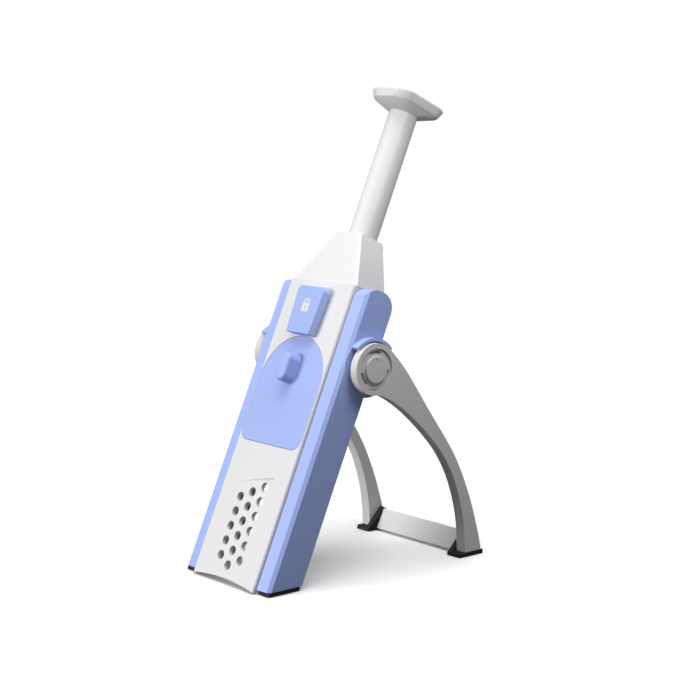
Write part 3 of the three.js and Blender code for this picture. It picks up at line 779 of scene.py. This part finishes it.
atHub = inBody @ Matrix.Translation((0, pivot["deep"], pivot["up"]))
dialBodies = ("thickness_dial", "mode_dial")
settlePair(dialKnob(), "modeKnob", atHub, dialBodies, grey, ("thickness_knob", "mode_knob"))
settlePair(dialCap(), "modeCap", atHub, dialBodies, grey, ("thickness_cap", "mode_cap"))


# Stand: swept legs with a hub, a recessed dial seat and an inner relief round it, measured from the hub.
leg = {"inner": 54, "outer": 63.4, "hub": 20, "hubInner": 56.6, "recess": 15.9, "recessFloor": 59, "bore": 10,
       "collar": 13, "padRise": 3.4, "gap": 0.3,
       "back": [(13, 15.2), (30.3, -3.6), (54.6, -37.6), (81.6, -75.5), (98, -109), (108.6, -141),
                (115.6, -170)],
       "front": [(95.4, -170), (93.2, -134), (84.3, -101.5), (70.5, -76), (50.8, -53.8), (28, -34),
                 (8, -21.8), (-6, -19.1)]}
bar = {"y": 100.8, "z": -162.3, "length": 18.2, "thickness": 3.6, "angle": 62, "half": 48.3, "pin": 1.6,
       "pinReach": 57.5, "pinAlong": 9, "pinHole": 1.9}
foot = {"low": (88.8, 114.6), "high": (89.6, 115.2), "outer": 64,
        "gussetLow": (90.2, 112), "gussetHigh": [(109.2, -144.8), (106.4, -143.4)], "gussetLift": 3}


def barPoint(along, over):
    angle = math.radians(bar["angle"])
    return (bar["y"] + along * math.cos(angle) - over * math.sin(angle),
            bar["z"] + along * math.sin(angle) + over * math.cos(angle))


def barPin(radius, low, high):
    return axle("pin", radius, low, high, *barPoint(bar["pinAlong"], bar["thickness"] / 2), 32)


def standLeg():
    outline = list(reversed(smoothCurve(leg["back"]) + smoothCurve(leg["front"])))
    arm = prism("rightLeg", outline, leg["inner"], leg["outer"], "side")
    join(arm, axle("hub", leg["hub"], leg["inner"], leg["outer"], 0, 0, 128))
    top = standFloor + leg["padRise"] + leg["gap"]
    trim = prism("trim", [(60, -190), (130, -190), (130, top), (60, top)], 40, 80, "side")
    recessed = axle("recess", leg["recess"], leg["recessFloor"], 70, 0, 0, 128)
    relief = axle("relief", leg["hub"] + 4, 50, leg["hubInner"], 0, 0, 96)
    cut(relief, axle("middle", leg["collar"], 40, 70, 0, 0, 96))
    bore = axle("bore", leg["bore"], 50, 70, 0, 0, 96)
    cut(arm, trim, recessed, relief, bore, barPin(bar["pinHole"], 50, 58))
    return soften(arm, 1.0, 4)


def legFoot():
    inner, rise = bar["half"] + leg["gap"], standFloor + leg["padRise"]
    (near, far), (nearTop, farTop) = foot["low"], foot["high"]
    sole = [(near, standFloor), (far, standFloor), (farTop, rise), (nearTop, rise)]
    pad = prism("rightLegFoot", sole, inner, foot["outer"], "side")
    web = [(y, standFloor + foot["gussetLift"]) for y in foot["gussetLow"]] + foot["gussetHigh"]
    join(pad, prism("gusset", web, inner, leg["inner"] - leg["gap"], "side"))
    cut(pad, barPin(bar["pinHole"], 40, 60))
    return soften(pad, 0.5, 3)


def crossbar():
    long, thick = bar["length"], bar["thickness"]
    section = [barPoint(0, 0), barPoint(long, 0), barPoint(long, thick), barPoint(0, thick)]
    shape = prism("crossbar", section, -bar["half"], bar["half"], "side")
    join(shape, barPin(bar["pin"], -bar["pinReach"], bar["pinReach"]))
    return show(shape, inStand, "stand", grey, ["crossbar"], 0.6, 3)


standPair = ("stand", "stand")
settlePair(standLeg(), "leftLeg", inStand, standPair, grey, ("right_leg", "left_leg"))
settlePair(legFoot(), "leftLegFoot", inStand, standPair, rubber,
           ("right_leg_foot", "left_leg_foot"))
crossbar()
print("stand and dials made")


# Rubber pads under the body.
bodyPad = {"near": 5.8, "far": 32.4, "height": 3.2, "inner": 39.4, "outer": 52.7}


def bodyFoot():
    near, far, height = bodyPad["near"], bodyPad["far"], bodyPad["height"]
    outline = [overFloor(near, 0), overFloor(far, 0), overFloor(far, height), overFloor(near, height)]
    return soften(prism("rightBodyFoot", outline, bodyPad["inner"], bodyPad["outer"], "side"), 0.5, 3)


settlePair(bodyFoot(), "leftBodyFoot", inBody, ("body", "body"), rubber,
           ("right_body_foot", "left_body_foot"))


# Cover screws, each with a crossed recess, and the spring inside the tube.
recess = {"long": 3.6, "wide": 0.7, "deep": 1.2}
fastener = {"Across": cover["screwAcross"], "Apart": cover["screwHigh"] - cover["screwLow"], "Head": 3,
            "Thick": 1.5, "Shank": 1.4, "Length": 7, "Material": steel}
screwsAt = (0, 34.05, (cover["screwLow"] + cover["screwHigh"]) / 2)
coils = {"turns": 13.0, "radius": 7.4, "height": 136.0, "wire": 0.7, "low": 266.9, "stroke": 95}


def coverScrewTree():
    inputs = {"Across": number, "Apart": number, "Head": number, "Thick": number, "Shank": number,
              "Length": number, "Material": stuff}
    tree, given, exit = newTree("coverScrews", inputs)
    grid = addNode(tree, "GeometryNodeMeshGrid", Size_X=reckon(tree, "MULTIPLY", given.outputs["Across"], 2),
                   Size_Y=given.outputs["Apart"], Vertices_X=2, Vertices_Y=2)
    stood = addNode(tree, "GeometryNodeTransform", Geometry=grid.outputs[0], Rotation=upright)
    head = addNode(tree, "GeometryNodeMeshCylinder", Vertices=40, Radius=given.outputs["Head"],
                   Depth=given.outputs["Thick"])
    long, wide, deep = recess["long"], recess["wide"], recess["deep"]
    bars = [addNode(tree, "GeometryNodeMeshCube", Size=size).outputs[0]
            for size in ((long, wide, deep), (wide, long, deep))]
    both = addNode(tree, "GeometryNodeJoinGeometry")
    for one in bars:
        tree.links.new(one, both.inputs[0])
    raised = addNode(tree, "GeometryNodeTransform", Geometry=both.outputs[0],
                     Translation=vector(tree, z=reckon(tree, "MULTIPLY", given.outputs["Thick"], -0.5)))
    crossed = addNode(tree, "GeometryNodeMeshBoolean", {"operation": "DIFFERENCE", "solver": "EXACT"})
    tree.links.new(head.outputs["Mesh"], crossed.inputs["Mesh 1"])
    tree.links.new(raised.outputs[0], crossed.inputs["Mesh 2"])
    shank = addNode(tree, "GeometryNodeMeshCylinder", Vertices=20, Radius=given.outputs["Shank"],
                    Depth=given.outputs["Length"])
    sunk = addNode(tree, "GeometryNodeTransform", Geometry=shank.outputs["Mesh"],
                   Translation=vector(tree, z=reckon(tree, "MULTIPLY", given.outputs["Length"], 0.5)))
    screw = addNode(tree, "GeometryNodeJoinGeometry")
    tree.links.new(crossed.outputs["Mesh"], screw.inputs[0])
    tree.links.new(sunk.outputs[0], screw.inputs[0])
    pointed = addNode(tree, "GeometryNodeTransform", Geometry=screw.outputs[0], Rotation=upright)
    copyTo(tree, exit, stood, pointed, given.outputs["Material"])
    return tree


def returnSpringTree():
    inputs = {"Turns": number, "Radius": number, "Height": number, "Wire": number, "Material": stuff}
    tree, given, exit = newTree("returnSpring", inputs)
    radius = given.outputs["Radius"]
    coil = addNode(tree, "GeometryNodeCurveSpiral", Resolution=32, Rotations=given.outputs["Turns"],
                   Start_Radius=radius, End_Radius=radius, Height=given.outputs["Height"])
    wire = addNode(tree, "GeometryNodeCurvePrimitiveCircle", Resolution=10, Radius=given.outputs["Wire"])
    swept = addNode(tree, "GeometryNodeCurveToMesh", Curve=coil.outputs[0], Profile_Curve=wire.outputs[0],
                    Fill_Caps=True)
    closeTree(tree, exit, swept.outputs[0], given.outputs["Material"])
    return tree


screws = grow(coverScrewTree(), "coverScrews", fastener)
screws.data.transform(Matrix.Translation(screwsAt))
show(screws, inBody, "body", steel,
     [side + end + "screw" for side in ("right_", "left_") for end in ("lower_", "upper_")], 0.15, 2)
spring = grow(returnSpringTree(), "returnSpring", {"Turns": coils["turns"], "Radius": coils["radius"],
              "Height": coils["height"], "Wire": coils["wire"], "Material": steel})
spring.data.transform(Matrix.Translation((0, plunger["deep"], coils["low"])))
show(spring, inBody, "plunger", steel, ["return_spring"], 0)
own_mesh(spring)
print("screws and spring made")


# The mechanism inside keeps its engineered shape, with broken edges.
brokenEdges = {"housing": 0.4, "guide_bush": 0.15, "spring_rod": 0.3, "rod_bracket": 0.4,
               "right_stroke_stop": 0.3, "left_stroke_stop": 0.3, "blade_carriage": 0.35,
               "slicing_blade": 0.04, "lock_clip": 0.2, "thickness_cam": 0.2, "thickness_link": 0.2,
               "thickness_plate": 0.2, "mode_cam": 0.2, "mode_link": 0.2, "julienne_comb": 0.08}
bodyOf = {node: body for body, nodes in frame["record"]["behaviour"]["bodies"].items() for node in nodes}
slotOf = {part["node"]: part["material_slot"] for part in frame["record"]["subparts"]}
for node, width in brokenEdges.items():
    first, *rest = node.split("_")
    name = first + "".join(word.capitalize() for word in rest)
    copy = newObject(name, frame["nodes"][node].data.copy())
    copy.data.transform(Matrix.Scale(1000, 4))
    soften(copy, width, 2, split=node == "thickness_plate")
    settle(copy, Matrix.Scale(0.001, 4), bodyOf[node], slotMaterials[slotOf[node]], [node])
print("mechanism made")
